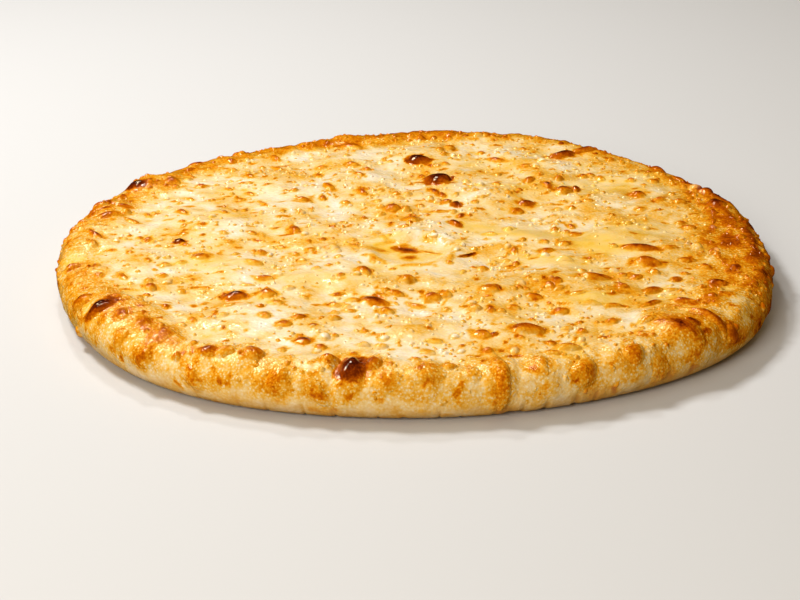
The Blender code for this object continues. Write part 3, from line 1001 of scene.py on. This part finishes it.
def crustMaterial():
    # a ramp from pale dough to char, driven by the toast layer and broken up by fine noise, most on the rim.
    # Butter makes it yellower and smoother; in the hollows that yellow is partly painted warm shade. Flour
    # makes the low side matte, and the finest pimples are bump
    material = bpy.data.materials.new("bakedDough")
    material.use_nodes = True
    tree = material.node_tree
    shader = tree.nodes["Principled BSDF"]
    start = Knot(tree)
    place = start.node("ShaderNodeTexCoord", output=3)
    toast, wet, pale, flour, rim = (
        start.node("ShaderNodeAttribute", {"attribute_name": layer}, output=2)
        for layer in ("toast", "wet", "pale", "flour", "rim")
    )
    coarse = place.noise(crustLook["coarse"], 3.0, 0.4)
    fine = place.noise(crustLook["fine"], 2.0)
    grain = place.noise(crustLook["grain"], 1.0)
    pimple = place.cells(crustLook["pimple"])
    bead = place.cells(crustLook["bead"])

    busy = toast.between(0.05, 0.45)
    rough = busy * (1 - 0.7 * toast.between(0.50, 0.76)) * (0.35 + 0.65 * rim)
    broken = toast + (coarse - 0.5) * (0.20 + 0.24 * rough) + (fine - 0.5) * (0.16 + 0.36 * rough)
    broken = broken - bead * 0.20 * rough + 0.03 * rough
    broken = broken.clamped()
    colour = start.node("ShaderNodeValToRGB", {"stops": crustLook["ramp"]}, {"Fac": broken})
    creamy = (pale * 0.12 + (1 - toast.between(0.05, 0.35)) * pimple * 0.10).clamped()
    colour = creamy.blended(colour, (*crustLook["cream"], 1))
    # butter colour: the butter pools, and in the hollows partly painted warm shade
    colour = (wet * (1 - toast.between(0.35, 0.6)) * 0.9).blended(colour, (*crustLook["butter"], 1))
    colour = (flour * (0.35 + 0.5 * fine)).blended(colour, (*crustLook["floury"], 1))

    roughness = (0.13 - 0.02 * wet + 0.36 * flour + (fine - 0.5) * 0.08).clamped()
    depth = pimple * 0.14 + (coarse - 0.5) * 0.28 + bead * (0.01 + 0.20 * rough)
    depth = depth + (fine - 0.5) * (0.10 + 0.22 * rough) + (grain - 0.5) * 0.03
    depth = depth * (1 - 0.8 * wet)
    sockets = {"Height": depth, "Distance": crustLook["bumpDepth"], "Strength": 1.0}
    normal = start.node("ShaderNodeBump", {}, sockets)
    for name, knot in {"Base Color": colour, "Roughness": roughness, "Normal": normal}.items():
        tree.links.new(knot.socket, shader.inputs[name])
    for name, value in crustLook["surface"].items():
        shader.inputs[name].default_value = value
    return material


middle = outlineMiddle()
makeCamera(middle)
makeStage()
print("camera and stage are set")

named = settled(makeDomes(blisters))
bubbles = scatterDomes("bubbles", named)
stainers = {key: np.concatenate([named[key], bubbles[key]]) for key in named}
pimples = scatterDomes("pimples", stainers)
print("blisters are placed:", len(named["u"]), len(bubbles["u"]), len(pimples["u"]))

dough = crustMaterial()
pieces = [meshPiece("pieCrust", *shapeCrust(stainers))]
for name, domes in {"crustBlisters": named, "crustBubbles": bubbles, "crustPimples": pimples}.items():
    pieces.append(meshPiece(name, *shapeDomes(domes, stainers, domeCuts[name])))
for piece in pieces:
    piece.data.materials.append(dough)
    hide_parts("cabbage_pie")
    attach(piece, "root")
print("crust is made")
